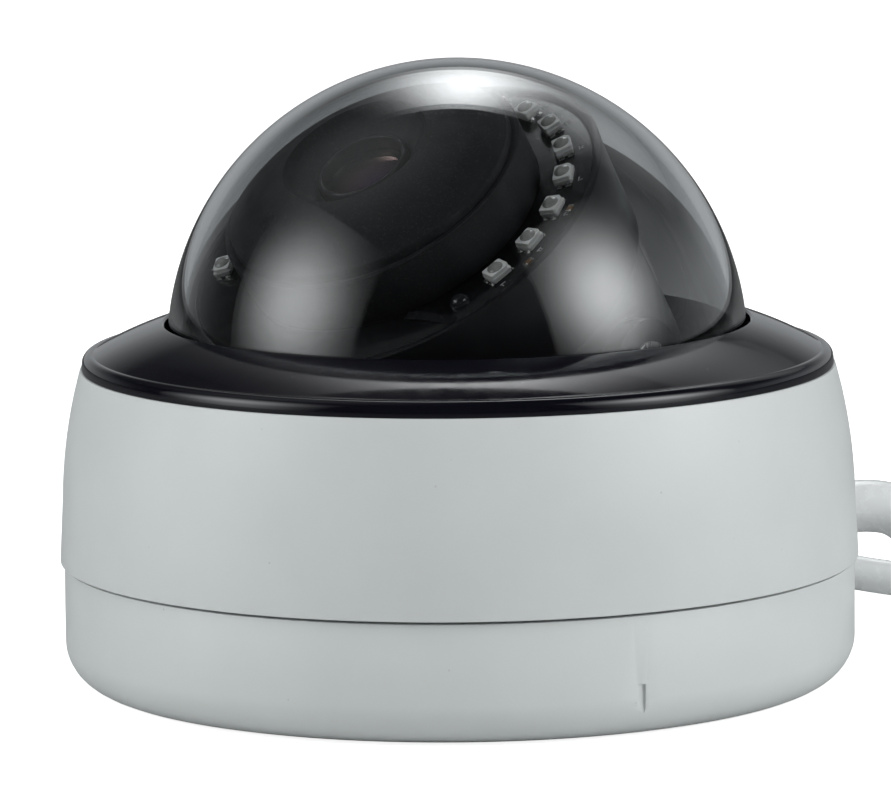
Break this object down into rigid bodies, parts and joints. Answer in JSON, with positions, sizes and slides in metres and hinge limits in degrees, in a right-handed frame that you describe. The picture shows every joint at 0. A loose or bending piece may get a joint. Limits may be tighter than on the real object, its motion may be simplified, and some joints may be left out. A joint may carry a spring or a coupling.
{
  "type": "dome security camera",
  "caption": "Round dome security camera with a twist-lock cover, clear dome, three-axis camera ball with an infrared ring, and two cable tails.",
  "frame": {"origin": "centre of the mounting face, on the wall or ceiling plane", "axes": "+Z out of the mounting face towards the dome; -Y is the front; the cables leave towards +X, behind the body"},
  "size_m": [0.184, 0.1283, 0.0933],
  "materials": {
    "white_shell": "satin, very fine texture",
    "black_gloss_trim": "high gloss",
    "clear_dome": "polished, lightly smoked",
    "foam_rubber": "closed-cell foam",
    "seal_rubber": "smooth rubber",
    "black_plastic": "fine moulded texture",
    "washer_plastic": "natural nylon",
    "white_plastic": "moulded",
    "header_plastic": "moulded",
    "green_board": "solder mask",
    "black_board": "black solder mask",
    "steel": "zinc plated",
    "brass_metal": "turned",
    "component_black": "moulded package",
    "sensor_glass": "glass-topped package",
    "capacitor_can": "sleeved can",
    "cable_jacket": "glossy jacket",
    "jack_plastic": "moulded",
    "contact_gold": "gold plated",
    "lead_jacket": "insulated wire",
    "black_metal": "black anodised",
    "lens_glass": "coated",
    "filter_glass": "coated",
    "led_package": "moulded package",
    "led_lens": "clear resin",
    "resistor_ceramic": "tinned ends",
    "ribbon": "flat cable",
    "shroud_rubber": "matt, finely speckled"
  },
  "bodies": {
    "base": {"base_shell": "white_shell", "foot_gasket": "foam_rubber", "power_board": "green_board", "power_board_screws": "steel", "network_transformer": "component_black", "power_inductor": "component_black", "filter_capacitors": "capacitor_can", "board_headers": "header_plastic", "reset_switch": "black_plastic", "turntable_clips": "black_plastic", "clip_screws": "steel", "cable_grommet": "seal_rubber", "network_cable": "cable_jacket", "power_cable": "cable_jacket", "network_socket": "cable_jacket", "network_contacts": "contact_gold", "network_strain_relief": "cable_jacket", "power_socket": "jack_plastic", "power_pin": "contact_gold", "cable_clamp": "white_plastic", "cable_clamp_screw": "steel", "board_leads": "lead_jacket"},
    "reset_plunger": {"reset_button": "header_plastic"},
    "seal": {"cover_seal": "seal_rubber"},
    "cover": {"upper_cover": "white_shell", "trim_ring": "black_gloss_trim", "dome": "clear_dome", "dome_gasket": "foam_rubber", "dome_retainer": "black_plastic", "retainer_screws": "steel"},
    "turntable": {"turntable": "black_plastic"},
    "tilt_cup": {"rear_cup": "black_plastic", "tilt_screws": "steel", "tilt_washers": "washer_plastic"},
    "camera_head": {"front_housing": "black_plastic", "processor_board": "green_board", "processor_chip": "component_black", "processor_screws": "steel", "board_spacers": "brass_metal", "sensor_board": "green_board", "image_sensor": "sensor_glass", "lens_holder": "black_plastic", "lens_barrel": "black_metal", "front_lens": "lens_glass", "rear_lens": "lens_glass", "lens_lock_ring": "black_plastic", "filter_coil": "component_black", "led_board": "black_board", "infrared_leds": "led_package", "led_lenses": "led_lens", "light_sensor": "led_lens", "board_resistors": "resistor_ceramic", "led_ribbon": "ribbon", "light_shroud": "shroud_rubber"},
    "ir_filter": {"filter_tray": "black_plastic", "infrared_cut_filter": "filter_glass", "clear_filter": "lens_glass"}
  },
  "joints": [
    {"name": "cover_twist", "type": "hinge", "parent": "base", "child": "seal", "pos_m": [0, 0, 0.0267], "axis": [0, 0, -1], "range_deg": [0, 16]},
    {"name": "cover_lift", "type": "slide", "parent": "seal", "child": "cover", "axis": [0, 0, 1], "range_m": [0, 0.06]},
    {"name": "pan", "type": "hinge", "parent": "base", "child": "turntable", "pos_m": [0, 0, 0.0153], "axis": [0, 0, 1], "range_deg": [-176, 176]},
    {"name": "tilt", "type": "hinge", "parent": "turntable", "child": "tilt_cup", "pos_m": [0, 0, 0.0498], "axis": [0.7524, -0.6587, 0], "range_deg": [-35.5, 40]},
    {"name": "roll", "type": "hinge", "parent": "tilt_cup", "child": "camera_head", "pos_m": [0, 0, 0.0498], "axis": [-0.3825, -0.4369, 0.8141], "range_deg": [-175, 175]},
    {"name": "filter_slide", "type": "slide", "parent": "camera_head", "child": "ir_filter", "axis": [-0.7524, 0.6587, 0], "range_m": [0, 0.0062]},
    {"name": "reset_press", "type": "slide", "parent": "base", "child": "reset_plunger", "axis": [0, 0, -1], "range_m": [0, 0.0003]}
  ]
}
